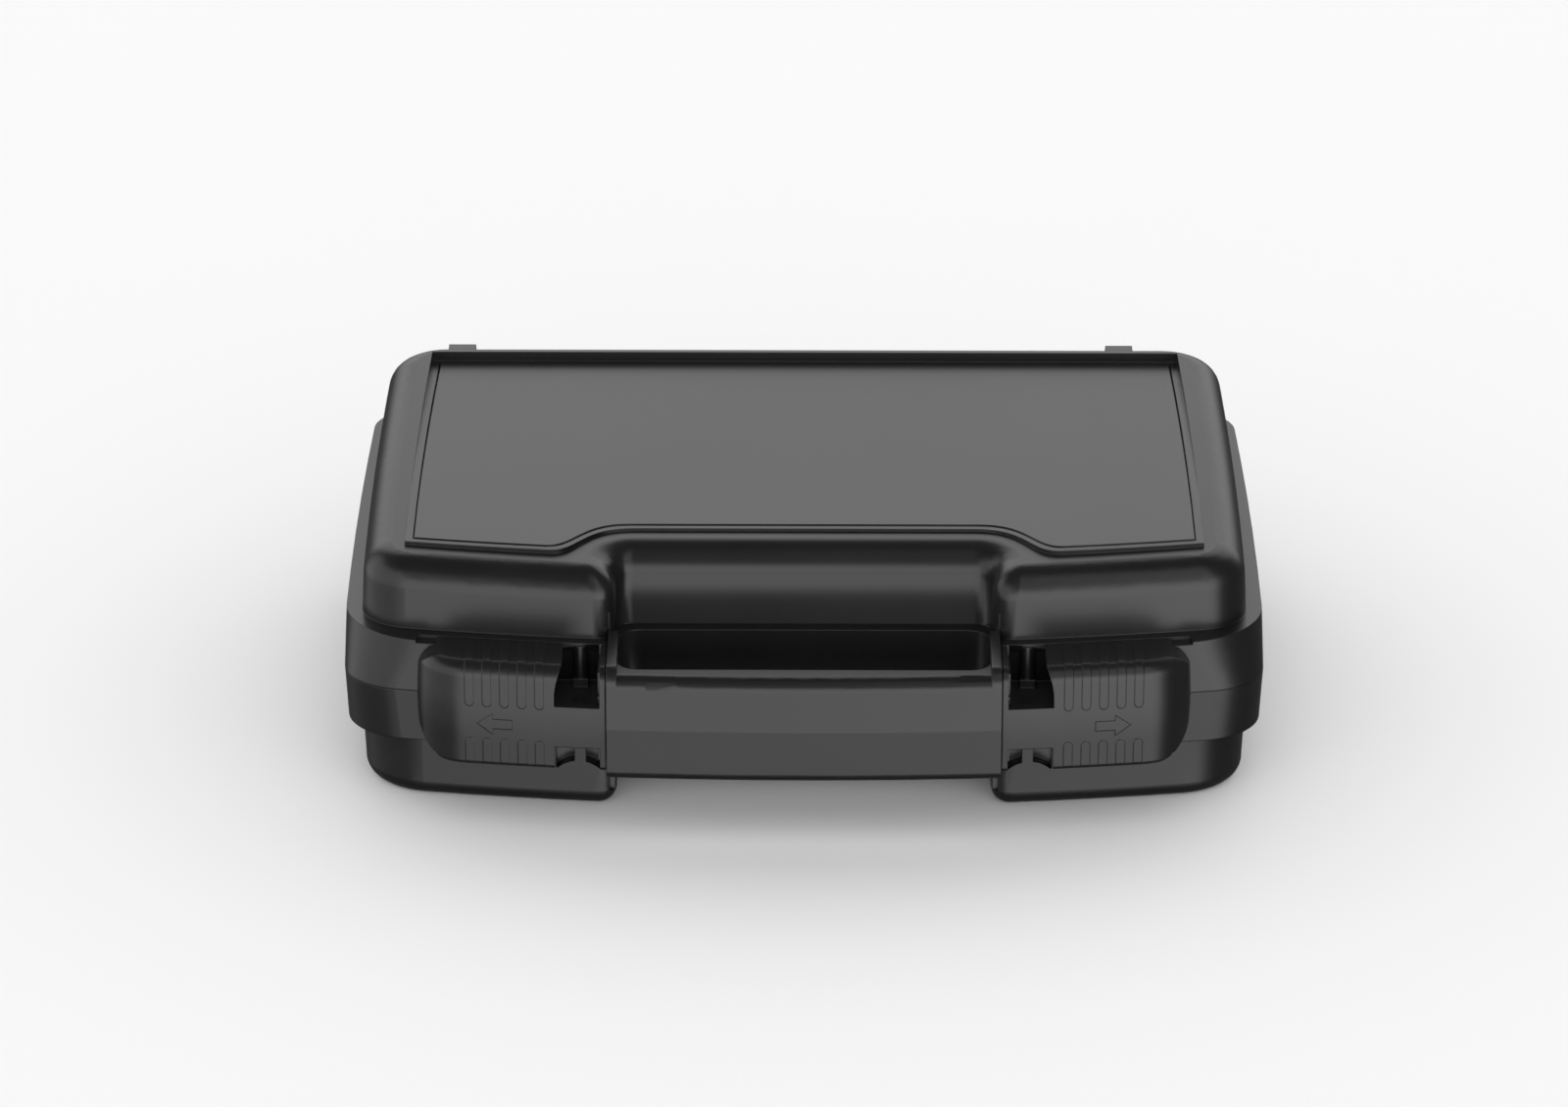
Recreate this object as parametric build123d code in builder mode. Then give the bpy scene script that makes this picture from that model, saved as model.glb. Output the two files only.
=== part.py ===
from build123d import *
from math import asin, cos, degrees, radians, sin, sqrt
import os

os.makedirs("parts", exist_ok=True)

# Plastic carrying case lying on its base, lid upwards, handle towards -Y.
# Origin: middle of the overall box at the level of the base's underside.
# All dimensions in millimetres.

# ---------------------------------------------------------------- dimensions
z_part = 40.0            # parting plane between base and lid
seam = 0.05              # half of the gap between the two rims
z_top = 57.0             # ledge on top of the skirt band
z_low = 23.0             # underside of the skirt band
r_arc = 705.0            # plan radius of the bowed front
half_w = 145.0           # half width at the parting line
bow = 1.25               # bow of the sides
y_back = 109.2           # back of the band
y_front = -96.4          # bowed front of the band, at the middle
body_half = 139.45       # lid body, half width
body_back = 103.2
body_front = -87.2
tub_half = 140.3         # tub, half width
tub_front = -89.3
draft = 3.0              # degrees, lid body and tub
wall = 2.5
lid_front_z = 78.9       # lid's top at y = -64.8
lid_y0 = -64.8
lid_slope = 0.0297       # rise of the lid's top towards the back
r_lid = 9.2              # top edge of the lid
r_tub = 5.5              # bottom edge of the tub
recess_half = 58.6       # finger recess between the two bulges
recess_y = -72.0
recess_r = 21.9          # hollow curve of the recess wall
r_recess = 5.2
r_bulge = 6.6
hole_half = 57.6         # finger hole
hole_back = -76.6
r_hole = 7.0
arm_play = 0.35          # gap between the handle's arms and the lid

panel_z = 80.5           # top of the label panel
panel_t = 1.7
frame_z = 80.2           # frame round the panel
frame_w = 2.4

hinge_y = 112.8
hinge_r = 3.3
rib_w = 9.0
rib_gap = 0.5
hinge_x = 110.1          # middle of each hinge
pin_r = 1.5
pin_clear = 0.06
lid_rib_top = 77.8

handle_half = 60.8
handle_front = -117.0
handle_top = 56.8
arm_top = 59.1           # the arms stand a little above the grip
handle_low = 22.6
handle_arc = 880.0
grip_back = -106.9       # back of the grip at the middle
arm_end = -82.0          # back end of the arms, against the base

latch_arc = 700.0
latch_front = -112.4     # bowed front of the latches, at the middle
latch_x0, latch_x1 = 61.15, 120.4
latch_cx = 91.0
latch_top = 57.0
latch_low = 23.0
latch_wall = 2.2
pocket_z = 54.9          # floor of the pocket under a latch's top flange
thin_z = 56.1            # floor under the flange's thin outer end
travel = 5.0             # outward travel of a latch
win_a, win_b = 63.0, 77.0
shelf_front = 4.6        # keeper shelf, behind the latch's front face
post_x = 69.4            # round post seen in the upper window
boss_x = 70.3            # round-topped boss seen in the lower window

# ------------------------------------------------------------------ outlines
def outline(hx, bw, yb, yf, r_front, r_back):
    """Rounded plan outline: straight back, bowed sides and bowed front."""
    xe = hx - bw
    ye = yf + r_arc - sqrt(r_arc**2 - xe**2)
    with BuildSketch() as s:
        with BuildLine():
            Line((xe, yb), (-xe, yb))
            ThreePointArc((-xe, yb), (-hx, (yb + ye) / 2), (-xe, ye))
            ThreePointArc((-xe, ye), (0, yf), (xe, ye))
            ThreePointArc((xe, ye), (hx, (yb + ye) / 2), (xe, yb))
        make_face()
        fillet(s.vertices().filter_by(lambda v: v.Y < 0), r_front)
        fillet(s.vertices().filter_by(lambda v: v.Y > yb - 0.01 and abs(abs(v.X) - xe) < 0.01), r_back)
    return s.sketch


def yz_prism(points, x0, x1):
    """Straight-edged profile in the YZ plane, extruded from x0 to x1."""
    with BuildPart() as p:
        with BuildSketch(Plane.YZ.offset(x0)):
            with BuildLine():
                Polyline(*points, close=True)
            make_face()
        extrude(amount=x1 - x0)
    return p.part


def box(x0, x1, y0, y1, z0, z1):
    with BuildPart() as p:
        with BuildSketch(Plane.XY.offset(z0)):
            with Locations(((x0 + x1) / 2, (y0 + y1) / 2)):
                Rectangle(x1 - x0, y1 - y0)
        extrude(amount=z1 - z0)
    return p.part


def panel_face(i):
    """Outline of the label panel, i millimetres inside (+) or outside (-) its edge."""
    xs, ys = 122.4 - i, 90.2 - i
    ya = -70.1 + i
    with BuildSketch() as s:
        with BuildLine():
            yc = ya + r_arc - sqrt(r_arc**2 - xs**2)
            x1 = 81.0 + 0.4 * i
            y1 = ya + r_arc - sqrt(r_arc**2 - x1**2)
            t1 = Vector(-1, -x1 / r_arc, 0)
            Line((-xs + 1.0, ys), (xs - 1.0, ys))
            ThreePointArc((xs - 1.0, ys), (xs + 0.25, 15), (xs, yc))
            ThreePointArc((xs, yc), (101, ya + r_arc - sqrt(r_arc**2 - 101.0**2)), (x1, y1))
            Spline((x1, y1), (72.0 + 0.55 * i, -59.8 + 0.75 * i), (54.5 + 0.3 * i, -48.3 + i),
                   tangents=[t1, Vector(-1, 0.02, 0)])
            Line((54.5 + 0.3 * i, -48.3 + i), (-54.5 - 0.3 * i, -48.3 + i))
            Spline((-54.5 - 0.3 * i, -48.3 + i), (-72.0 - 0.55 * i, -59.8 + 0.75 * i), (-x1, y1),
                   tangents=[Vector(-1, -0.02, 0), Vector(-1, x1 / r_arc, 0)])
            ThreePointArc((-x1, y1), (-101, ya + r_arc - sqrt(r_arc**2 - 101.0**2)), (-xs, yc))
            ThreePointArc((-xs, yc), (-xs - 0.25, 15), (-xs + 1.0, ys))
        make_face()
    return s.sketch


def recess_cut(sign):
    """Finger recess: curved sloping wall with rounded ends; sign +1 lid, -1 tub."""
    zc = z_part
    def z(v):
        return zc + sign * (v - zc)
    with BuildPart() as p:
        with BuildSketch(Plane.YZ):
            with BuildLine():
                Line((-120, z(30)), (recess_y, z(30)))
                Line((recess_y, z(30)), (recess_y, z(z_top)))
                if sign > 0:
                    cy = recess_y - recess_r * cos(radians(50))
                    cz = z_top + recess_r * sin(radians(50))
                    ye = cy + recess_r * cos(radians(9))
                    ze = cz - recess_r * sin(radians(9))
                    yt = ye + (88.3 - ze) * sin(radians(9)) / cos(radians(9))
                    ThreePointArc((recess_y, z_top), (cy + recess_r * cos(radians(29)), cz - recess_r * sin(radians(29))), (ye, ze))
                    Line((ye, ze), (yt, 88.3))
                    Line((yt, 88.3), (-120, 88.3))
                else:
                    ThreePointArc((recess_y, z(z_top)), (-68.0, z(69.0)), (-61.0, z(80.3)))
                    Line((-61.0, z(80.3)), (-55.0, z(88.3)))
                    Line((-55.0, z(88.3)), (-120, z(88.3)))
                Line((-120, z(88.3)), (-120, z(30)))
            make_face()
        extrude(amount=recess_half, both=True)
        es = p.edges().filter_by(lambda e: abs(abs(e.center().X) - recess_half) < 0.01
                                 and -90 < e.center().Y < -45
                                 and abs(e.center().Z - z(88.3)) > 0.1 and abs(e.center().Z - z(30)) > 0.1)
        fillet(es, r_recess)
    return p.part


def hole_cut(side_gap, back_gap):
    """Finger hole with rounded back corners, and the two slots for the handle's arms."""
    with BuildPart() as p:
        with BuildSketch(Plane.XY.offset(5)) as hs:
            with BuildLine():
                Polyline((-hole_half, -130), (hole_half, -130), (hole_half, hole_back), (-hole_half, hole_back), close=True)
            make_face()
            fillet(hs.vertices().group_by(Axis.Y)[-1], r_hole)
            with Locations((0, (arm_end + back_gap - 130) / 2)):
                Rectangle(2 * (handle_half + side_gap), arm_end + back_gap + 130)
        extrude(amount=60)
    return p.part


def latch_plane(side, z):
    """Frame at the middle of a latch: x inwards along the front's tangent, y backwards."""
    a = asin(latch_cx / latch_arc)
    yf = latch_front + latch_arc - sqrt(latch_arc**2 - latch_cx**2)
    return Plane(origin=(side * latch_cx, yf, z), x_dir=(cos(a), side * sin(a), 0), z_dir=(0, 0, 1))


def lbox(x0, x1, y0, y1, z0, z1):
    """Box in the left latch's frame, z in the case's frame."""
    with BuildPart() as p:
        with BuildSketch(latch_plane(-1, z0)):
            with Locations(((x0 + x1) / 2, (y0 + y1) / 2)):
                Rectangle(x1 - x0, y1 - y0)
        extrude(amount=z1 - z0)
    return p.part


def end_profile(x0, x1, z0, z1, r0, r1):
    """Slab seen from the front, from x0 to x1, with the two corners at x1 rounded: r0 below, r1 above."""
    k = 1 - sqrt(0.5)
    with BuildPart() as p:
        with BuildSketch(Plane.XZ.offset(60)):
            with BuildLine():
                Line((x0, z0), (x0, z1))
                Line((x0, z1), (x1 + r1, z1))
                ThreePointArc((x1 + r1, z1), (x1 + r1 * k, z1 - r1 * k), (x1, z1 - r1))
                Line((x1, z1 - r1), (x1, z0 + r0))
                ThreePointArc((x1, z0 + r0), (x1 + r0 * k, z0 + r0 * k), (x1 + r0, z0))
                Line((x1 + r0, z0), (x0, z0))
            make_face()
        extrude(amount=80)
    return p.part


def latch_block(o):
    """Outer body of the left latch, grown by o."""
    r = latch_arc + o
    yf = latch_front - o
    x1 = latch_x1 + o
    yc = yf + r - sqrt(r**2 - x1**2)
    with BuildPart() as p:
        for d in (1, -1):
            with BuildSketch(Plane.XY.offset(z_part)) as s:
                with BuildLine():
                    y0 = yf + r - sqrt(r**2 - 50.0**2)
                    ThreePointArc((-x1, yc), (-85, yf + r - sqrt(r**2 - 85.0**2)), (-50, y0))
                    Line((-50, y0), (-50, -78))
                    Line((-50, -78), (-x1, -78))
                    Line((-x1, -78), (-x1, yc))
                make_face()
                fillet(s.vertices().filter_by(lambda v: v.X < -x1 + 0.01 and v.Y < -90), 18.0 + o)
            extrude(amount=d * (latch_top - z_part + o), taper=3.2)
        # the face bulges softly instead of creasing at the parting plane's height
        fillet(p.edges().filter_by(lambda e: abs(e.center().Z - z_part) < 0.01 and e.center().Y < -79 and e.center().X < -51), 120)
        fillet(p.edges().filter_by(lambda e: abs(e.center().Z - latch_low + o) < 0.01 and e.length > 30
                                   and e.center().Y < -100), 1.6 + o)
        fillet(p.edges().filter_by(lambda e: abs(e.center().Z - latch_top - o) < 0.01 and e.length > 30
                                   and e.center().Y < -100), 4.6 + o)
        add(end_profile(-50, -x1, latch_low - o, latch_top + o, 13.0 + o, 9.5 + o), mode=Mode.INTERSECT)
    return p.part


hole_base = hole_cut(0.0, 0.0)
hole_lid = hole_cut(arm_play, 0.4)
recess_lid = recess_cut(1)
recess_tub = recess_cut(-1)


def shelf(z0, z1):
    """Keeper shelf of the left latch, between the skirt and the latch."""
    return lbox(-16.2, 31.0, shelf_front, 26.0, z0, z1)


# ------------------------------------------------------------------ base
with BuildPart() as tub_room:
    with BuildSketch(Plane.XY.offset(25.4)):
        add(outline(tub_half - 2.55, 1.1, body_back - 2.5, tub_front + 2.5, 21.5, 12.5))
    extrude(amount=-23.0, taper=draft)
    add(yz_prism([(-69.3, 30), (-69.3, 23), (-66.0, 11.5), (-57.0, -2), (-120, -2), (-120, 30)], -62, 62), mode=Mode.SUBTRACT)
    fillet(tub_room.faces().sort_by(Axis.Z)[0].outer_wire().edges(), 3.4)
    # thicker wall behind the foot pockets
    for sx in (-1, 1):
        add(box(*sorted((sx * 61.2, sx * 80.4)), -95, -77.4, 1.0, 26.0), mode=Mode.SUBTRACT)

with BuildPart() as base_room:
    with BuildSketch(Plane.XY.offset(25.3)):
        add(outline(142.3, 1.25, 106.5, -93.7, 21.5, 15.5))
    extrude(amount=30)
    add(box(-65.2, 65.2, -130, -73.6, 20, 60), mode=Mode.SUBTRACT)
    add(tub_room.part)

with BuildPart() as base_shell:
    with BuildSketch(Plane.XY.offset(24.0)):
        add(outline(tub_half, 1.1, body_back, tub_front, 24, 15))
    extrude(amount=-24.0, taper=draft)
    add(recess_tub, mode=Mode.SUBTRACT)
    fillet(base_shell.edges().filter_by(lambda e: abs(abs(e.center().X) - recess_half) < 1.0 and e.center().Z < 22
                                        and abs((e @ 0).Z - (e @ 1).Z) > 5 and e.center().Y < -79), 6.0)
    fillet(base_shell.faces().sort_by(Axis.Z)[0].outer_wire().edges(), r_tub)
    # lower half of the skirt band
    with BuildSketch(Plane.XY.offset(z_part - seam)):
        add(outline(half_w, bow, y_back, y_front, 20.5, 18))
    with BuildSketch(Plane.XY.offset(z_low)):
        add(outline(half_w - 0.8, bow, y_back - 0.45, y_front + 0.8, 21.5, 18))
    loft(ruled=True)
    # keeper shelves in front of the band, one behind each latch
    keep = shelf(z_low + 2.4, z_part - seam)
    add(keep)
    add(mirror(keep, about=Plane.YZ))
    add(base_room.part, mode=Mode.SUBTRACT)
    # hollow pockets in the shelves, open at the rim
    for x0, x1 in ((-13.6, -1.2), (1.2, 9.4)):
        hollow = lbox(x0, x1, shelf_front + 2.2, 11.6, z_part - 12.0, z_part + 1)
        add(hollow, mode=Mode.SUBTRACT)
        add(mirror(hollow, about=Plane.YZ), mode=Mode.SUBTRACT)
    # room behind each latch's lower window
    for sx in (-1, 1):
        add(box(*sorted((sx * 63.6, sx * 79.0)), -112, -90.0, z_low - 2, 35.5), mode=Mode.SUBTRACT)
    # foot pockets with a round-topped boss and a flat post
    for sx in (-1, 1):
        with BuildSketch(Plane.XZ.offset(80.7)) as fp:
            with Locations((sx * boss_x, 18.1)):
                Rectangle(14.4, 9.8)
            with Locations((sx * boss_x, 6.4)):
                Circle(9.5, mode=Mode.SUBTRACT)
            with Locations((sx * 69.9, 17.0)):
                Rectangle(3.5, 14.0, mode=Mode.SUBTRACT)
        extrude(amount=8.8, mode=Mode.SUBTRACT)
    add(hole_base, mode=Mode.SUBTRACT)
    # hinge ribs with the base's knuckles; they double as feet when the case stands on its back
    for sx, x0 in ((-1, -hinge_x + rib_gap / 2), (1, hinge_x + rib_gap / 2)):
        with BuildSketch(Plane.YZ.offset(x0)):
            with BuildLine():
                Polyline((99.0, 2.2), (hinge_y + hinge_r - 1.6, 2.2), (hinge_y + hinge_r, 3.8),
                         (hinge_y + hinge_r, z_part), (hinge_y - hinge_r, z_part - 4.5), (107.5, z_part - 6.0),
                         (99.0, 25.0), close=True)
            make_face()
            with Locations((hinge_y, z_part)):
                Circle(hinge_r)
        extrude(amount=rib_w)
    # inner lip at the sides and the back, inside the lid's rim
    with BuildSketch(Plane.XY.offset(26.0)):
        add(outline(142.3, 1.25, 106.5, -93.7, 21.5, 15.5))
        add(outline(139.9, 1.25, 104.1, -91.3, 19.1, 13.1), mode=Mode.SUBTRACT)
        with Locations((0, -110)):
            Rectangle(400, 120, mode=Mode.SUBTRACT)
    extrude(amount=z_part - 26.0)
    with BuildSketch(Plane.XY.offset(z_part - 0.2)):
        add(outline(141.3, 1.25, 105.5, -92.7, 20.5, 14.5))
        add(outline(139.9, 1.25, 104.1, -91.3, 19.1, 13.1), mode=Mode.SUBTRACT)
        with Locations((0, -110)):
            Rectangle(400, 120, mode=Mode.SUBTRACT)
    extrude(amount=2.4)
    # pin bores
    with BuildSketch(Plane.YZ.offset(-130)):
        with Locations((hinge_y, z_part)):
            Circle(pin_r)
    extrude(amount=260, mode=Mode.SUBTRACT)
    # shallow panel under the base
    with BuildSketch(Plane.XY):
        with Locations((0, 18)):
            RectangleRounded(222, 118, 10)
    extrude(amount=0.8, mode=Mode.SUBTRACT)
base_shell.part.label = "base_shell"
export_step(base_shell.part, "parts/base_shell.step")
print("base_shell", round(base_shell.part.volume), base_shell.part.is_valid, len(base_shell.solids()))

# ------------------------------------------------------------------ lid
with BuildPart() as lid_room:
    with BuildSketch(Plane.XY.offset(50.0)):
        add(outline(137.15, 1.1, 100.95, -84.95, 15.6, 17.5))
    extrude(amount=25.2, taper=draft)
    add(yz_prism([(-73.6, 40), (-73.6, 54.0), (-70.3, 55.0), (-64.9, 61.5), (-61.9, 69.7), (-60.7, 77.0), (-60.0, 84.0),
                  (-120, 84.0), (-120, 40)], -62, 62), mode=Mode.SUBTRACT)
    fillet(lid_room.faces().sort_by(Axis.Z)[-1].outer_wire().edges(), 5.0)
    with BuildSketch(Plane.XY.offset(30.0)):
        add(outline(142.3, 1.25, 106.5, -84.7, 21.5, 15.5))
    extrude(amount=24.5)
    add(box(-65.2, 65.2, -130, -73.6, 20, 56), mode=Mode.SUBTRACT)

with BuildPart() as lid_shell:
    with BuildSketch(Plane.XY.offset(z_top - 1.0)):
        add(outline(body_half, 1.1, body_back, body_front, 17.5, 20))
    extrude(amount=36, taper=draft)
    # the top slopes down gently towards the front
    with BuildSketch(Plane.YZ):
        with BuildLine():
            Polyline((-140, lid_front_z + (-140 - lid_y0) * lid_slope), (140, lid_front_z + (140 - lid_y0) * lid_slope),
                     (140, 120), (-140, 120), close=True)
        make_face()
    extrude(amount=200, both=True, mode=Mode.SUBTRACT)
    add(recess_lid, mode=Mode.SUBTRACT)
    fillet(lid_shell.edges().filter_by(lambda e: abs(abs(e.center().X) - recess_half) < 1.0 and e.center().Z > 58
                                       and abs((e @ 0).Z - (e @ 1).Z) > 5 and e.center().Y < -79), r_bulge)
    top_face = lid_shell.faces().filter_by(lambda f: f.normal_at(f.center()).Z > 0.99 and f.center().Z > 76).sort_by(SortBy.AREA)[-1]
    fillet(top_face.outer_wire().edges(), r_lid)
    # frame of the label panel: sunk at the back, proud at the front
    with BuildSketch(Plane.XY.offset(frame_z)):
        add(panel_face(-frame_w))
    extrude(amount=20, mode=Mode.SUBTRACT)
    with BuildSketch(Plane.XY.offset(frame_z)):
        add(panel_face(-frame_w))
    extrude(amount=-4.6)
    with BuildSketch(Plane.XY.offset(panel_z - panel_t)):
        add(panel_face(0))
    extrude(amount=10, mode=Mode.SUBTRACT)
    # upper half of the skirt band
    with BuildSketch(Plane.XY.offset(z_part + seam)):
        add(outline(half_w, bow, y_back, y_front, 20.5, 18))
    with BuildSketch(Plane.XY.offset(z_top)):
        add(outline(half_w - 0.6, bow, y_back - 0.5, y_front + 0.5, 30, 18))
    loft(ruled=True)
    # keeper shelves that carry the latches
    keep = shelf(z_part + seam, pocket_z)
    add(keep)
    add(mirror(keep, about=Plane.YZ))
    # pockets, grooves and rails of the latches
    for cut in (lbox(-16.3 - travel, 34.0, -20.0, 21.6, pocket_z, 62.0),
                lbox(-27.1 - travel, 0.0, -20.0, 21.6, thin_z, 62.0),
                lbox(-17.2 - travel, 34.0, 18.2, 21.3, 53.1, 60.0),
                lbox(-40.0, 40.0, -20.0, 6.4, 47.0, 49.2),
                lbox(-13.6, -1.2, shelf_front + 3.6, 11.6, z_part - 1, z_part + 11.0),
                lbox(1.2, 9.4, shelf_front + 3.6, 11.6, z_part - 1, z_part + 11.0)):
        add(cut, mode=Mode.SUBTRACT)
        add(mirror(cut, about=Plane.YZ), mode=Mode.SUBTRACT)
    add(lid_room.part, mode=Mode.SUBTRACT)
    # windows' room with a round post on each side
    for sx in (-1, 1):
        add(yz_prism([(-112, 42.6), (-112, 60), (-87.9, 60), (-87.9, 56.9), (-85.9, 53.6), (-83.2, 42.6)],
                     *sorted((sx * 63.6, sx * 79.0))), mode=Mode.SUBTRACT)
        with BuildSketch(Plane.XY.offset(42.0)):
            with Locations((sx * post_x, -85.75)):
                Circle(2.4)
        extrude(amount=14.1)
        add(box(*sorted((sx * (post_x - 2.4), sx * (post_x + 2.4))), -88.6, -84.0, 42.0, 45.4))
    add(hole_lid, mode=Mode.SUBTRACT)
    # hinge ribs with the lid's knuckles and their stop heels
    for x0 in (-hinge_x - rib_gap / 2 - rib_w, hinge_x - rib_gap / 2 - rib_w):
        with BuildSketch(Plane.YZ.offset(x0)) as rs:
            with BuildLine():
                Polyline((99.8, lid_rib_top), (hinge_y + hinge_r - 1.8, lid_rib_top), (hinge_y + hinge_r, lid_rib_top - 1.8),
                         (hinge_y + hinge_r, z_part + 3.0), (117.0, z_part - 0.5), (117.0, z_part - 2.2),
                         (hinge_y + 1.0, z_part - 3.1), (hinge_y - hinge_r, z_part + 0.3), (hinge_y - hinge_r, z_part + 5.5),
                         (106.9, z_part + 7.0), (99.8, 58.0), close=True)
            make_face()
            with Locations((hinge_y, z_part)):
                Circle(hinge_r)
        extrude(amount=rib_w)
    with BuildSketch(Plane.YZ.offset(-130)):
        with Locations((hinge_y, z_part)):
            Circle(pin_r + pin_clear)
    extrude(amount=260, mode=Mode.SUBTRACT)
lid_shell.part.label = "lid_shell"
export_step(lid_shell.part, "parts/lid_shell.step")
print("lid_shell", round(lid_shell.part.volume), lid_shell.part.is_valid, len(lid_shell.solids()))

# ------------------------------------------------------------------ label panel
with BuildPart() as label_panel:
    with BuildSketch(Plane.XY.offset(panel_z - panel_t)):
        add(panel_face(0.3))
    extrude(amount=panel_t)
    chamfer(label_panel.faces().sort_by(Axis.Z)[-1].outer_wire().edges(), 0.35)
label_panel.part.label = "label_panel"
export_step(label_panel.part, "parts/label_panel.step")
print("label_panel", round(label_panel.part.volume), label_panel.part.is_valid)

# ------------------------------------------------------------------ handle
def handle_block(up, down):
    """Bowed block with a slight draft either side of the parting plane."""
    with BuildPart() as p:
        for d, h, t in ((1, up - z_part, 3.6), (-1, z_part - down, 2.6)):
            with BuildSketch(Plane.XY.offset(z_part)):
                with BuildLine():
                    ye = handle_front + handle_arc - sqrt(handle_arc**2 - 72.0**2)
                    ThreePointArc((-72, ye), (0, handle_front), (72, ye))
                    Line((72, ye), (72, -70))
                    Line((72, -70), (-72, -70))
                    Line((-72, -70), (-72, ye))
                make_face()
            extrude(amount=d * h, taper=t)
    return p.part


with BuildPart() as arms:
    add(handle_block(arm_top, z_part - 1.0))
    fillet(arms.edges().filter_by(lambda e: e.length > 100 and e.center().Y < -112 and e.center().Z > arm_top - 0.1), 5.4)
    add(box(-handle_half, handle_half, -130, arm_end, 0, 80), mode=Mode.INTERSECT)
    add(box(-hole_half, hole_half, -140, -60, 0, 90), mode=Mode.SUBTRACT)

with BuildPart() as handle:
    add(handle_block(handle_top, handle_low))
    add(box(-handle_half, handle_half, -130, arm_end, 0, 80), mode=Mode.INTERSECT)
    with BuildSketch(Plane.XY.offset(10)) as gs:
        with BuildLine():
            Polyline((-hole_half, -60), (-hole_half, grip_back), (hole_half, grip_back), (hole_half, -60), close=True)
        make_face()
        fillet(gs.vertices().group_by(Axis.Y)[0], 6.5)
    extrude(amount=60, mode=Mode.SUBTRACT)
    fillet(handle.edges().filter_by(lambda e: e.length > 100 and e.center().Y < -112 and e.center().Z > 55), 4.0)
    fillet(handle.edges().filter_by(lambda e: e.length > 100 and e.center().Y < -112 and e.center().Z < 25), 3.0)
    # arms, standing a little above the grip
    add(arms.part)
    # hollow under the grip, with cross ribs
    with BuildSketch(Plane.XY.offset(20)):
        with BuildLine():
            yi = handle_front + 3.4 + handle_arc - sqrt(handle_arc**2 - 56.0**2)
            ThreePointArc((-56, yi), (0, handle_front + 3.4), (56, yi))
            Line((56, yi), (56, grip_back - 2.3))
            Line((56, grip_back - 2.3), (-56, grip_back - 2.3))
            Line((-56, grip_back - 2.3), (-56, yi))
        make_face()
        with Locations([(x, -110) for x in (-37.5, -18.75, 0, 18.75, 37.5)]):
            Rectangle(1.7, 30, mode=Mode.SUBTRACT)
    extrude(amount=33.5, mode=Mode.SUBTRACT)
handle.part.label = "handle"
export_step(handle.part, "parts/handle.step")
print("handle", round(handle.part.volume), handle.part.is_valid, len(handle.solids()))

# ------------------------------------------------------------------ latches
def slot(x, z0, z1, w=2.75):
    """Round-ended grip rib, seen from the front."""
    with BuildPart() as p:
        with BuildSketch(Plane.XZ.offset(80)):
            with Locations((x, (z0 + z1) / 2)):
                RectangleRounded(w, z1 - z0, w / 2 - 0.02)
        extrude(amount=40)
    return p.part


rib_xs = [-103.3 + 5.43 * i for i in range(5)]
with BuildPart() as grip_ribs:
    for x in rib_xs:
        add(slot(x, 43.4, 70.0))
        add(slot(x, 15.0, 32.7))
    add(box(-140, -50, -130, -88.2, 24.4, 60), mode=Mode.INTERSECT)
    # arrow pointing outwards
    with BuildSketch(Plane.XZ.offset(80)):
        with BuildLine():
            Polyline((-100.9, 37.7), (-96.1, 41.2), (-96.1, 39.3), (-90.0, 39.3), (-90.0, 36.1), (-96.1, 36.1), (-96.1, 34.2), close=True)
        make_face()
    extrude(amount=40)
    add(latch_block(0.3), mode=Mode.INTERSECT)
    add(latch_block(-1.0), mode=Mode.SUBTRACT)

with BuildPart() as latch_room:
    with BuildSketch(Plane.XY.offset(25.0)) as ls:
        with BuildLine():
            r = latch_arc - latch_wall
            yf = latch_front + latch_wall
            xi = latch_x1 - latch_wall
            yc = yf + r - sqrt(r**2 - xi**2)
            y0 = yf + r - sqrt(r**2 - 40.0**2)
            ThreePointArc((-xi, yc), (-85, yf + r - sqrt(r**2 - 85.0**2)), (-40, y0))
            Line((-40, y0), (-40, -70))
            Line((-40, -70), (-xi, -70))
            Line((-xi, -70), (-xi, yc))
        make_face()
        fillet(ls.vertices().filter_by(lambda v: v.X < -xi + 0.01 and v.Y < -90), 15.8)
    extrude(amount=pocket_z + 0.15 - 25.0, taper=1.5)
    add(end_profile(-30, -xi, 25.0, pocket_z + 0.15, 10.9, 7.4), mode=Mode.INTERSECT)

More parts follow.
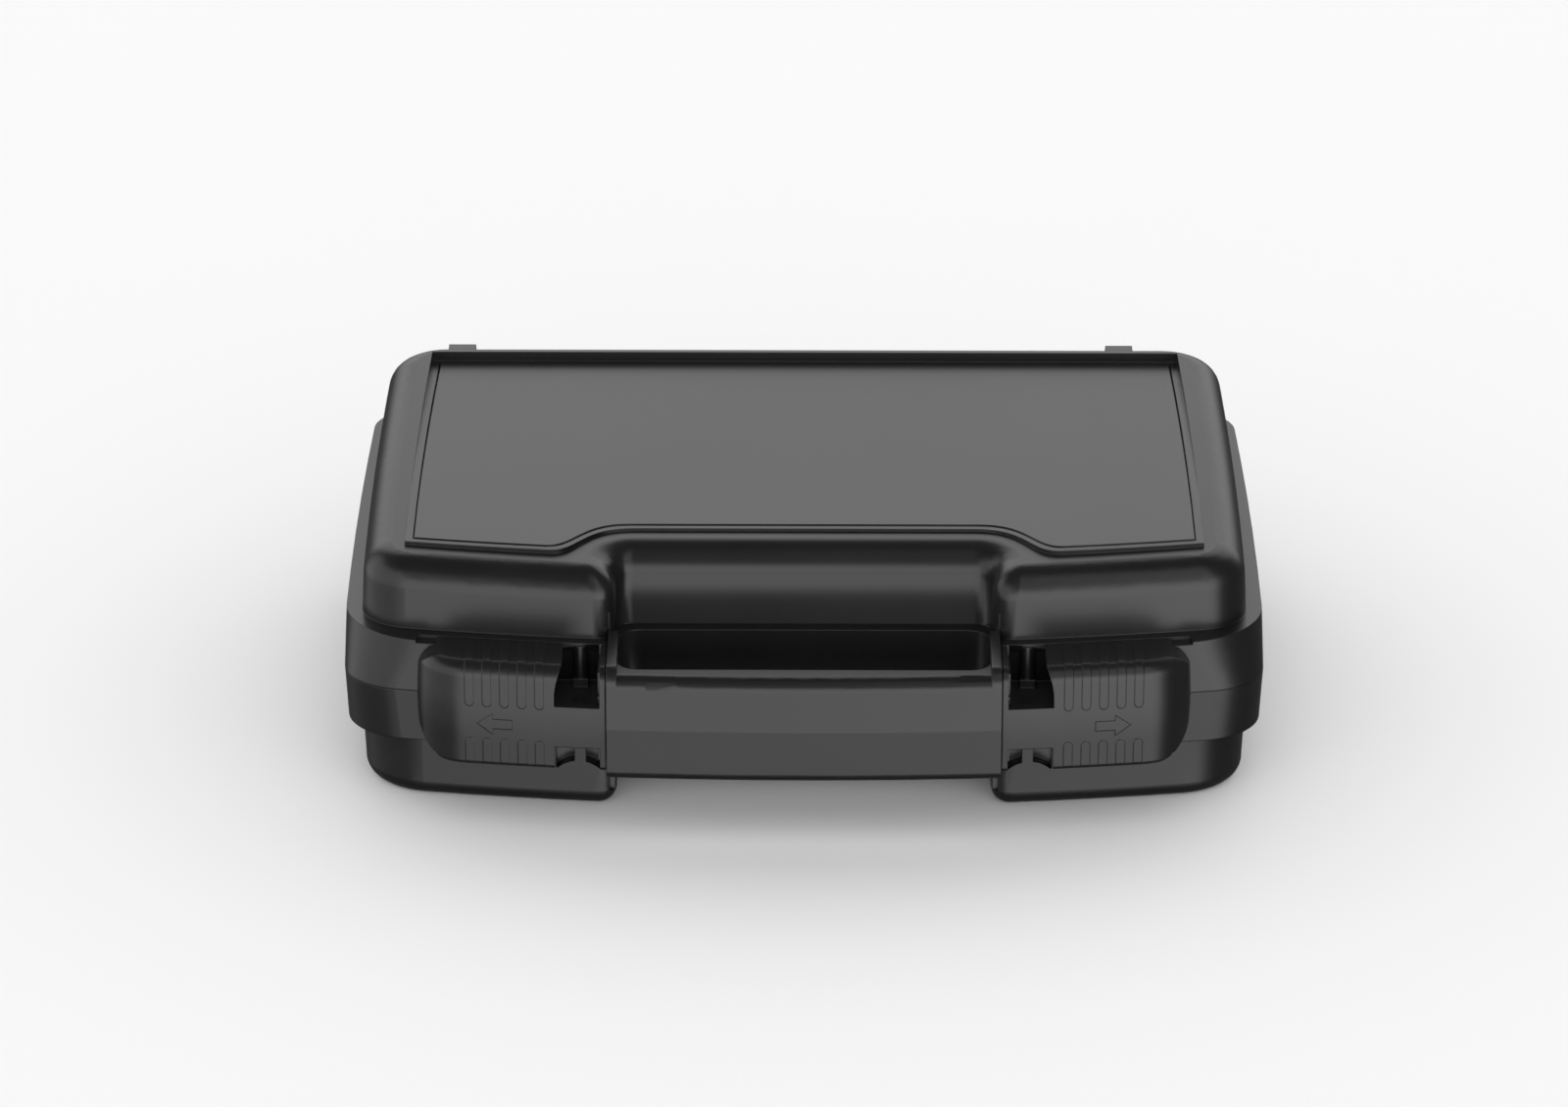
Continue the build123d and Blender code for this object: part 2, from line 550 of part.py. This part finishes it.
with BuildPart() as latch_left:
    add(latch_block(0))
    # inside, open at the back
    add(latch_room.part, mode=Mode.SUBTRACT)
    add(lbox(-27.0, 60.0, 4.2, 60.0, 20, 25.4), mode=Mode.SUBTRACT)
    # back edge clears the skirt; the top flange reaches over the ledge
    with BuildSketch(Plane.XY.offset(20.0)):
        add(outline(half_w + 0.5, bow, y_back, y_front - 0.5, 24, 18))
    extrude(amount=pocket_z + 0.15 - 20.0, mode=Mode.SUBTRACT)
    with BuildSketch(Plane.XY.offset(50.0)):
        add(outline(half_w + 0.5, bow, y_back, y_front - 0.5, 24, 18))
        with Locations((0, 0)):
            Rectangle(2 * 104.0, 300, mode=Mode.SUBTRACT)
    extrude(amount=thin_z + 0.15 - 50.0, mode=Mode.SUBTRACT)
    add(lbox(-60, 60, 20.8, 60, 50, 62), mode=Mode.SUBTRACT)
    add(lbox(-16.6, 24.0, 18.8, 20.8, 53.7, 55.6))
    # inner end, windows and their curved corner
    add(box(-latch_x0, 0, -140, 0, 0, 90), mode=Mode.SUBTRACT)
    with BuildSketch(Plane.XZ.offset(70)):
        with BuildLine():
            Line((-win_b, 44.5), (-win_b, 46.5))
            ThreePointArc((-win_b, 46.5), (-win_b + 0.55, 51.8), (-win_b + 2.3, 57.0))
            Line((-win_b + 2.3, 57.0), (-win_b + 3.6, 60.0))
            Line((-win_b + 3.6, 60.0), (-win_a, 60.0))
            Line((-win_a, 60.0), (-win_a, 44.5))
            Line((-win_a, 44.5), (-win_b, 44.5))
        make_face()
    extrude(amount=60, mode=Mode.SUBTRACT)
    add(box(-win_b, -win_a, -125, -96, 15, 30.8), mode=Mode.SUBTRACT)
    # turned-in edges of the bar between the windows
    add(lbox(13.0, 26.8, 1.0, 4.3, 43.0, 44.5))
    add(lbox(13.0, 26.8, 1.0, 4.3, 30.8, 32.3))
    # rail that runs in the shelf's groove
    add(lbox(-14.0, 12.0, 1.2, 5.9, 47.4, 48.8))
    add(grip_ribs.part)
latch_left.part.label = "latch_left"
export_step(latch_left.part, "parts/latch_left.step")
print("latch_left", round(latch_left.part.volume), latch_left.part.is_valid, len(latch_left.solids()))

with BuildPart() as latch_right:
    add(mirror(latch_left.part, about=Plane.YZ))
latch_right.part.label = "latch_right"
export_step(latch_right.part, "parts/latch_right.step")

# ------------------------------------------------------------------ hinge pins
pin_len = 2 * rib_w + rib_gap + 0.6
with BuildPart() as hinge_pin_left:
    with BuildSketch(Plane.YZ.offset(-hinge_x - pin_len / 2)):
        with Locations((hinge_y, z_part)):
            Circle(pin_r)
    extrude(amount=pin_len)
    chamfer(hinge_pin_left.edges().filter_by(GeomType.CIRCLE), 0.4)
hinge_pin_left.part.label = "hinge_pin_left"
export_step(hinge_pin_left.part, "parts/hinge_pin_left.step")

with BuildPart() as hinge_pin_right:
    with BuildSketch(Plane.YZ.offset(hinge_x - pin_len / 2)):
        with Locations((hinge_y, z_part)):
            Circle(pin_r)
    extrude(amount=pin_len)
    chamfer(hinge_pin_right.edges().filter_by(GeomType.CIRCLE), 0.4)
hinge_pin_right.part.label = "hinge_pin_right"
export_step(hinge_pin_right.part, "parts/hinge_pin_right.step")

# ------------------------------------------------------------------ foam liners
with BuildPart() as base_foam:
    with BuildSketch(Plane.XY.offset(2.7)):
        add(outline(134.6, 1.1, 98.8, -82.8, 20, 11))
        with Locations((0, -100)):
            Rectangle(128, 2 * 41.6, mode=Mode.SUBTRACT)
        with Locations((71.2, -80), (-71.2, -80)):
            Rectangle(21.0, 9.0, mode=Mode.SUBTRACT)
    extrude(amount=10.0)
    chamfer(base_foam.faces().sort_by(Axis.Z)[0].outer_wire().edges(), 2.6)
base_foam.part.label = "base_foam"
export_step(base_foam.part, "parts/base_foam.step")

with BuildPart() as lid_foam:
    with BuildSketch(Plane.XY.offset(61.0)):
        add(outline(134.4, 1.1, 98.6, -82.6, 20, 16))
        with Locations((0, -100)):
            Rectangle(128, 2 * 47.5, mode=Mode.SUBTRACT)
    extrude(amount=13.9)
    chamfer(lid_foam.faces().sort_by(Axis.Z)[-1].outer_wire().edges(), 4.0)
lid_foam.part.label = "lid_foam"
export_step(lid_foam.part, "parts/lid_foam.step")
print("foam", base_foam.part.is_valid, lid_foam.part.is_valid)
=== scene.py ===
import math

import bmesh
import bpy
from mathutils import Matrix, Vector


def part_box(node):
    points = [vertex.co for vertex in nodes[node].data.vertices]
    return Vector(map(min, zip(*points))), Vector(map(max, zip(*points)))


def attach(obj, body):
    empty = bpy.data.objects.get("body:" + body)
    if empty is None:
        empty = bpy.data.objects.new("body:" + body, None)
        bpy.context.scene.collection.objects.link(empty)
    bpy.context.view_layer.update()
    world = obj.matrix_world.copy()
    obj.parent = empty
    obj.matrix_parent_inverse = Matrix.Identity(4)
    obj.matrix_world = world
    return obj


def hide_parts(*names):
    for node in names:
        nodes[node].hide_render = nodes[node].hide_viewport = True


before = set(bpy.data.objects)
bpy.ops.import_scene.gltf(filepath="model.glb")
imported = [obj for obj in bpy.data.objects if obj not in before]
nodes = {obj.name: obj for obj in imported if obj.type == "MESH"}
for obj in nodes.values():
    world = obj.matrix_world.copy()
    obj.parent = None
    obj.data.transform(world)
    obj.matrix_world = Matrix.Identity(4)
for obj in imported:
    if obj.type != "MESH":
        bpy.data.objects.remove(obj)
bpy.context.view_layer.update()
scene = bpy.context.scene


# ---------------------------------------------------------------- camera
cam_data = bpy.data.cameras.new("camera")
cam_data.sensor_fit = "HORIZONTAL"
cam_data.sensor_width = 36.0
cam_data.lens = 158.6
cam_data.clip_start = 0.1
cam_data.clip_end = 50.0
cam = bpy.data.objects.new("camera", cam_data)
scene.collection.objects.link(cam)
cam.matrix_world = (Matrix.Translation((-0.0002, -2.0478, 0.9195))
                    @ Matrix.Rotation(math.radians(0.177), 4, "Z")
                    @ Matrix.Rotation(math.radians(67.0), 4, "X")
                    @ Matrix.Rotation(math.radians(0.068), 4, "Z"))
scene.camera = cam


# ---------------------------------------------------------------- node helpers
def material(name):
    m = bpy.data.materials.new(name)
    m.use_nodes = True
    t = m.node_tree
    t.nodes.clear()
    out = t.nodes.new("ShaderNodeOutputMaterial")
    bsdf = t.nodes.new("ShaderNodeBsdfPrincipled")
    t.links.new(bsdf.outputs[0], out.inputs[0])
    return m, t, bsdf


def node(t, kind, **values):
    n = t.nodes.new(kind)
    for k, v in values.items():
        if k in n.inputs:
            n.inputs[k].default_value = v
        else:
            setattr(n, k, v)
    return n


def noise(t, coords, scale, detail=2.0, rough=0.5):
    n = node(t, "ShaderNodeTexNoise")
    n.inputs["Scale"].default_value = scale
    n.inputs["Detail"].default_value = detail
    n.inputs["Roughness"].default_value = rough
    t.links.new(coords, n.inputs["Vector"])
    return n.outputs["Fac"]


def spread(t, fac, low, high, from_low=0.3, from_high=0.7):
    n = node(t, "ShaderNodeMapRange")
    n.inputs["From Min"].default_value = from_low
    n.inputs["From Max"].default_value = from_high
    n.inputs["To Min"].default_value = low
    n.inputs["To Max"].default_value = high
    t.links.new(fac, n.inputs["Value"])
    return n.outputs["Result"]


def mix_colours(t, fac, a, b):
    n = node(t, "ShaderNodeMix", data_type="RGBA")
    t.links.new(fac, n.inputs["Factor"])
    n.inputs[6].default_value = (*a, 1)
    n.inputs[7].default_value = (*b, 1)
    return n.outputs[2]


def bump(t, height, distance, strength, normal=None):
    n = node(t, "ShaderNodeBump")
    n.inputs["Strength"].default_value = strength
    n.inputs["Distance"].default_value = distance
    t.links.new(height, n.inputs["Height"])
    if normal is not None:
        t.links.new(normal, n.inputs["Normal"])
    return n.outputs["Normal"]


# ---------------------------------------------------------------- materials
def plastic(name, dark, light, rough, rough_vary, grain, edge):
    """Satin moulded plastic: fine spark-eroded grain, faint flow marks, softened edges."""
    m, t, bsdf = material(name)
    c = node(t, "ShaderNodeTexCoord").outputs["Object"]
    flow = noise(t, c, 9.0, 3.0)
    cloud = noise(t, c, 45.0, 3.0, 0.6)
    fine = noise(t, c, 2600.0, 2.0, 0.6)
    t.links.new(mix_colours(t, spread(t, cloud, 0, 1), dark, light), bsdf.inputs["Base Color"])
    both = node(t, "ShaderNodeMath", operation="ADD")
    t.links.new(spread(t, flow, -rough_vary, rough_vary), both.inputs[0])
    t.links.new(spread(t, fine, rough - rough_vary * 0.5, rough + rough_vary * 0.5), both.inputs[1])
    t.links.new(both.outputs[0], bsdf.inputs["Roughness"])
    rounded = node(t, "ShaderNodeBevel", samples=6)
    rounded.inputs["Radius"].default_value = edge
    t.links.new(bump(t, fine, 0.00004, grain, rounded.outputs["Normal"]), bsdf.inputs["Normal"])
    bsdf.inputs["IOR"].default_value = 1.5
    bsdf.inputs["Specular IOR Level"].default_value = 0.5
    return m


case_plastic = plastic("case_plastic", (0.0052, 0.0052, 0.0053), (0.0066, 0.0066, 0.0068), 0.30, 0.015, 0.10, 0.0005)
panel_plastic = plastic("panel_plastic", (0.0066, 0.0066, 0.0068), (0.0078, 0.0078, 0.0080), 0.30, 0.010, 0.04, 0.0003)

pin_steel, t, bsdf = material("pin_steel")
c = node(t, "ShaderNodeTexCoord").outputs["Object"]
stretch = node(t, "ShaderNodeMapping")
stretch.inputs["Scale"].default_value = (30.0, 4000.0, 4000.0)
t.links.new(c, stretch.inputs["Vector"])
drawn = noise(t, stretch.outputs["Vector"], 1.0, 2.0)
t.links.new(mix_colours(t, drawn, (0.42, 0.42, 0.43), (0.58, 0.58, 0.59)), bsdf.inputs["Base Color"])
t.links.new(spread(t, drawn, 0.25, 0.4), bsdf.inputs["Roughness"])
t.links.new(bump(t, drawn, 0.00002, 0.3), bsdf.inputs["Normal"])
bsdf.inputs["Metallic"].default_value = 1.0

foam_grey, t, bsdf = material("foam_grey")
c = node(t, "ShaderNodeTexCoord").outputs["Object"]
cells = node(t, "ShaderNodeTexVoronoi", feature="DISTANCE_TO_EDGE")
cells.inputs["Scale"].default_value = 900.0
t.links.new(c, cells.inputs["Vector"])
# Pore hollows sink in the bump and are also painted darker than the cell walls: painted shade in the hollows.
pore_depth_and_painted_shade = spread(t, cells.outputs["Distance"], 1.0, 0.0, 0.02, 0.22)
shade = noise(t, c, 60.0, 3.0)
t.links.new(mix_colours(t, pore_depth_and_painted_shade, (0.018, 0.0185, 0.020), (0.062, 0.064, 0.069)), bsdf.inputs["Base Color"])
t.links.new(spread(t, shade, 0.88, 0.98), bsdf.inputs["Roughness"])
t.links.new(bump(t, pore_depth_and_painted_shade, 0.0004, 0.8), bsdf.inputs["Normal"])
bsdf.inputs["Sheen Weight"].default_value = 0.15
bsdf.inputs["Specular IOR Level"].default_value = 0.2

for name, m in (("base_shell", case_plastic), ("lid_shell", case_plastic), ("handle", case_plastic),
                ("latch_left", case_plastic), ("latch_right", case_plastic), ("label_panel", panel_plastic),
                ("hinge_pin_left", pin_steel), ("hinge_pin_right", pin_steel)):
    mesh = nodes[name].data
    mesh.materials.clear()
    mesh.materials.append(m)

# The grip's broad faces keep their own shading right up to its rounded edges.
even = nodes["handle"].modifiers.new("even_shading", "WEIGHTED_NORMAL")
even.mode = "FACE_AREA"
even.weight = 100
even.keep_sharp = True


# ---------------------------------------------------------------- foam liners
def relief(name, cad_node, xs, ys, height, z_flat):
    """A slab whose worked side follows height(x, y), cut to the CAD liner's outline."""
    bm = bmesh.new()
    top = [[bm.verts.new((x, y, height(x, y))) for x in xs] for y in ys]
    low = [[bm.verts.new((x, y, z_flat)) for x in xs] for y in ys]
    ny, nx = len(ys), len(xs)
    for j in range(ny - 1):
        for i in range(nx - 1):
            bm.faces.new((top[j][i], top[j][i + 1], top[j + 1][i + 1], top[j + 1][i]))
            bm.faces.new((low[j][i], low[j + 1][i], low[j + 1][i + 1], low[j][i + 1]))
    for i in range(nx - 1):
        bm.faces.new((top[0][i], low[0][i], low[0][i + 1], top[0][i + 1]))
        bm.faces.new((top[-1][i], top[-1][i + 1], low[-1][i + 1], low[-1][i]))
    for j in range(ny - 1):
        bm.faces.new((top[j][0], top[j + 1][0], low[j + 1][0], low[j][0]))
        bm.faces.new((top[j][-1], low[j][-1], low[j + 1][-1], top[j + 1][-1]))
    bmesh.ops.recalc_face_normals(bm, faces=bm.faces[:])
    mesh = bpy.data.meshes.new(name)
    bm.to_mesh(mesh)
    bm.free()
    obj = bpy.data.objects.new(name, mesh)
    scene.collection.objects.link(obj)
    cutter = bpy.data.objects.new(name + "_cutter", nodes[cad_node].data.copy())
    scene.collection.objects.link(cutter)
    cut = bmesh.new()
    cut.from_mesh(cutter.data)
    bmesh.ops.remove_doubles(cut, verts=cut.verts[:], dist=1e-6)
    cut.to_mesh(cutter.data)
    cut.free()
    mod = obj.modifiers.new("outline", "BOOLEAN")
    mod.operation = "INTERSECT"
    mod.solver = "EXACT"
    mod.object = cutter
    bpy.context.view_layer.update()
    done = bpy.data.meshes.new_from_object(obj.evaluated_get(bpy.context.evaluated_depsgraph_get()))
    obj.modifiers.clear()
    obj.data = done
    done.name = name
    bpy.data.objects.remove(cutter)
    bm = bmesh.new()
    bm.from_mesh(done)
    bmesh.ops.remove_doubles(bm, verts=bm.verts[:], dist=2e-5)
    bmesh.ops.recalc_face_normals(bm, faces=bm.faces[:])
    bm.to_mesh(done)
    bm.free()
    done.materials.clear()
    done.materials.append(foam_grey)
    for p in done.polygons:
        p.material_index = 0
        p.use_smooth = True
    done.set_sharp_from_angle(angle=math.radians(48))
    return obj


def kerf_lines(lo, hi, pitch, steps):
    first = math.floor(lo / pitch) * pitch
    values = []
    k = 0
    while first + k * pitch < hi + pitch:
        values += [first + k * pitch + s for s in steps]
        k += 1
    return values


base_lo, base_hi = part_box("base_foam")
pitch = 0.0149
cuts = (0.0, 0.00035, 0.0011, 0.0040, 0.00745, 0.0109, 0.0138, 0.01455)


def plucked(x, y):
    """Scored blocks: a narrow kerf round each and slightly crowned tops."""
    def side(v):
        v = v / pitch - math.floor(v / pitch + 1e-6)
        d = min(v, 1 - v) * pitch
        return 0.0 if d < 1e-5 else (0.75 if d < 0.0005 else (0.95 if d < 0.0015 else 1.0))
    s = min(side(x), side(y))
    return base_hi.z - 0.0042 * (1 - s) - (0.0 if s == 1 else 0.0001)


pluck_foam = relief("base_foam_scored", "base_foam", kerf_lines(base_lo.x - 0.01, base_hi.x, pitch, cuts),
                    kerf_lines(base_lo.y - 0.01, base_hi.y, pitch, cuts), plucked, base_lo.z - 0.001)
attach(pluck_foam, "base")
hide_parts("base_foam")

lid_lo, lid_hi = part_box("lid_foam")
wave = 0.0268


def egg_crate(x, y):
    return lid_lo.z + 0.0042 * (1 - math.cos(2 * math.pi * x / wave) * math.cos(2 * math.pi * y / wave))


step = wave / 10
n_x = int((lid_hi.x - lid_lo.x) / step) + 8
n_y = int((lid_hi.y - lid_lo.y) / step) + 8
crate_foam = relief("lid_foam_egg_crate", "lid_foam", [(i - n_x / 2) * step for i in range(n_x + 1)],
                    [0.008 + (j - n_y / 2) * step for j in range(n_y + 1)], egg_crate, lid_hi.z + 0.001)
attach(crate_foam, "lid")
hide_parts("lid_foam")


# ---------------------------------------------------------------- floor
floor_mesh = bpy.data.meshes.new("floor")
floor_mesh.from_pydata([(-12, -12, 0), (12, -12, 0), (12, 12, 0), (-12, 12, 0)], [], [(0, 1, 2, 3)])
floor = bpy.data.objects.new("floor", floor_mesh)
scene.collection.objects.link(floor)
floor_paint, t, bsdf = material("floor_paint")
c = node(t, "ShaderNodeTexCoord").outputs["Object"]
t.links.new(mix_colours(t, noise(t, c, 3.0, 2.0), (0.80, 0.80, 0.80), (0.81, 0.81, 0.81)), bsdf.inputs["Base Color"])
bsdf.inputs["Roughness"].default_value = 0.9
bsdf.inputs["Specular IOR Level"].default_value = 0.1
floor_mesh.materials.append(floor_paint)


# ---------------------------------------------------------------- light
def calc(t, op, a, b=None):
    n = t.nodes.new("ShaderNodeMath")
    n.operation = op
    for i, v in enumerate((a, b)):
        if v is None:
            continue
        if isinstance(v, (int, float)):
            n.inputs[i].default_value = v
        else:
            t.links.new(v, n.inputs[i])
    return n.outputs[0]


def ease(t, value, start, end):
    """0 before start, 1 after end (or the other way round), with a soft step between."""
    n = t.nodes.new("ShaderNodeMapRange")
    n.interpolation_type = "SMOOTHSTEP"
    lo, hi = min(start, end), max(start, end)
    n.inputs["From Min"].default_value = lo
    n.inputs["From Max"].default_value = hi
    n.inputs["To Min"].default_value = 0.0 if start < end else 1.0
    n.inputs["To Max"].default_value = 1.0 if start < end else 0.0
    t.links.new(value, n.inputs["Value"])
    return n.outputs["Result"]


def ramp(t, value, stops, top):
    """Piecewise linear curve through (position, height) stops."""
    n = t.nodes.new("ShaderNodeValToRGB")
    els = n.color_ramp.elements
    while len(els) > 1:
        els.remove(els[-1])
    for i, (pos, height) in enumerate(stops):
        el = els[0] if i == 0 else els.new(pos)
        el.position = pos
        el.color = (height / top,) * 3 + (1,)
    t.links.new(value, n.inputs[0])
    return calc(t, "MULTIPLY", n.outputs[0], top)


# Soft room light: brighter towards the horizon, and from behind and in front than from the sides.
world = bpy.data.worlds.new("studio")
scene.world = world
world.use_nodes = True
t = world.node_tree
t.nodes.clear()
out = t.nodes.new("ShaderNodeOutputWorld")
back = t.nodes.new("ShaderNodeBackground")
t.links.new(back.outputs[0], out.inputs[0])
split = t.nodes.new("ShaderNodeSeparateXYZ")
t.links.new(t.nodes.new("ShaderNodeTexCoord").outputs["Generated"], split.inputs[0])
X, Y, Z = split.outputs
height = calc(t, "DIVIDE", calc(t, "ARCSINE", calc(t, "MINIMUM", calc(t, "MAXIMUM", Z, -1.0), 1.0)), math.pi / 2)
flat = calc(t, "ADD", calc(t, "ADD", calc(t, "MULTIPLY", X, X), calc(t, "MULTIPLY", Y, Y)), 1e-6)
total = None
for part, curve in ((calc(t, "MAXIMUM", Y, 0.0), (2.48, 2.44, 2.16, 1.65, 1.20, 1.00, 0.60)),
                    (calc(t, "MINIMUM", Y, 0.0), (2.15, 2.15, 2.06, 1.82, 1.59, 1.50, 0.60)),
                    (X, (1.43, 1.40, 1.20, 0.80, 0.40, 0.20, 0.60))):
    stops = [(e / 90, v) for e, v in zip((0, 12, 25, 40, 55, 70, 90), curve)]
    share = calc(t, "DIVIDE", calc(t, "MULTIPLY", part, part), flat)
    term = calc(t, "MULTIPLY", ramp(t, height, stops, 2.5), share)
    total = term if total is None else calc(t, "ADD", total, term)
t.links.new(total, back.inputs["Strength"])
back.inputs["Color"].default_value = (1, 1, 1, 1)
world.cycles_visibility.glossy = False

# Soft boxes, painted on a dome that only shows in the plastic's sheen.
# (azimuth: 0 behind the case, 90 right, 180 in front; height above the horizon; degrees)
panels = (
    # azimuth, half width, soft, bottom, soft, top, soft, strength
    (8, 42, 9, 4, 10, 45, 6, 1.12),        # window behind
    (168, 44, 12, -34, 14, 20, 10, 2.12),  # large soft box in front
    (150, 20, 12, -36, 14, 26, 10, 0.45),
    (148, 18, 10, 24, 10, 76, 16, 1.00),   # tall strip, front right
    (-152, 18, 14, 24, 10, 44, 12, 0.45),
    (-100, 50, 14, -20, 12, 38, 10, 1.10), # wall on the left
)
bm = bmesh.new()
bmesh.ops.create_uvsphere(bm, u_segments=48, v_segments=24, radius=8.0)
dome_mesh = bpy.data.meshes.new("soft_boxes")
bm.to_mesh(dome_mesh)
bm.free()
for p in dome_mesh.polygons:
    p.use_smooth = True
dome = bpy.data.objects.new("soft_boxes", dome_mesh)
scene.collection.objects.link(dome)
dome_paint = bpy.data.materials.new("soft_boxes")
dome_paint.use_nodes = True
t = dome_paint.node_tree
t.nodes.clear()
out = t.nodes.new("ShaderNodeOutputMaterial")
glow = t.nodes.new("ShaderNodeEmission")
t.links.new(glow.outputs[0], out.inputs["Surface"])
unit = t.nodes.new("ShaderNodeVectorMath")
unit.operation = "NORMALIZE"
t.links.new(t.nodes.new("ShaderNodeTexCoord").outputs["Object"], unit.inputs[0])
split = t.nodes.new("ShaderNodeSeparateXYZ")
t.links.new(unit.outputs[0], split.inputs[0])
X, Y, Z = split.outputs
up = calc(t, "MULTIPLY", calc(t, "ARCSINE", calc(t, "MINIMUM", calc(t, "MAXIMUM", Z, -1.0), 1.0)), 180 / math.pi)
total = None
for az, half, az_soft, bottom, b_soft, top, t_soft, strength in panels:
    c, s = math.cos(math.radians(az)), math.sin(math.radians(az))
    side = calc(t, "SUBTRACT", calc(t, "MULTIPLY", X, c), calc(t, "MULTIPLY", Y, s))
    ahead = calc(t, "ADD", calc(t, "MULTIPLY", X, s), calc(t, "MULTIPLY", Y, c))
    off = calc(t, "MULTIPLY", calc(t, "ABSOLUTE", calc(t, "ARCTAN2", side, ahead)), 180 / math.pi)
    shape = calc(t, "MULTIPLY", ease(t, off, half + az_soft, half - az_soft),
                 calc(t, "MULTIPLY", ease(t, up, bottom - b_soft, bottom + b_soft), ease(t, up, top + t_soft, top - t_soft)))
    term = calc(t, "MULTIPLY", shape, strength)
    total = term if total is None else calc(t, "ADD", total, term)
t.links.new(calc(t, "ADD", total, 0.085), glow.inputs["Strength"])
glow.inputs["Color"].default_value = (1, 1, 1, 1)
dome_mesh.materials.append(dome_paint)
dome_paint.cycles.emission_sampling = "NONE"
dome.visible_camera = False
dome.visible_diffuse = False
dome.visible_transmission = False
dome.visible_volume_scatter = False
dome.visible_shadow = False
floor.visible_glossy = False

scene.view_settings.view_transform = "Standard"
scene.view_settings.look = "None"
scene.view_settings.exposure = 0.0
scene.view_settings.gamma = 1.0
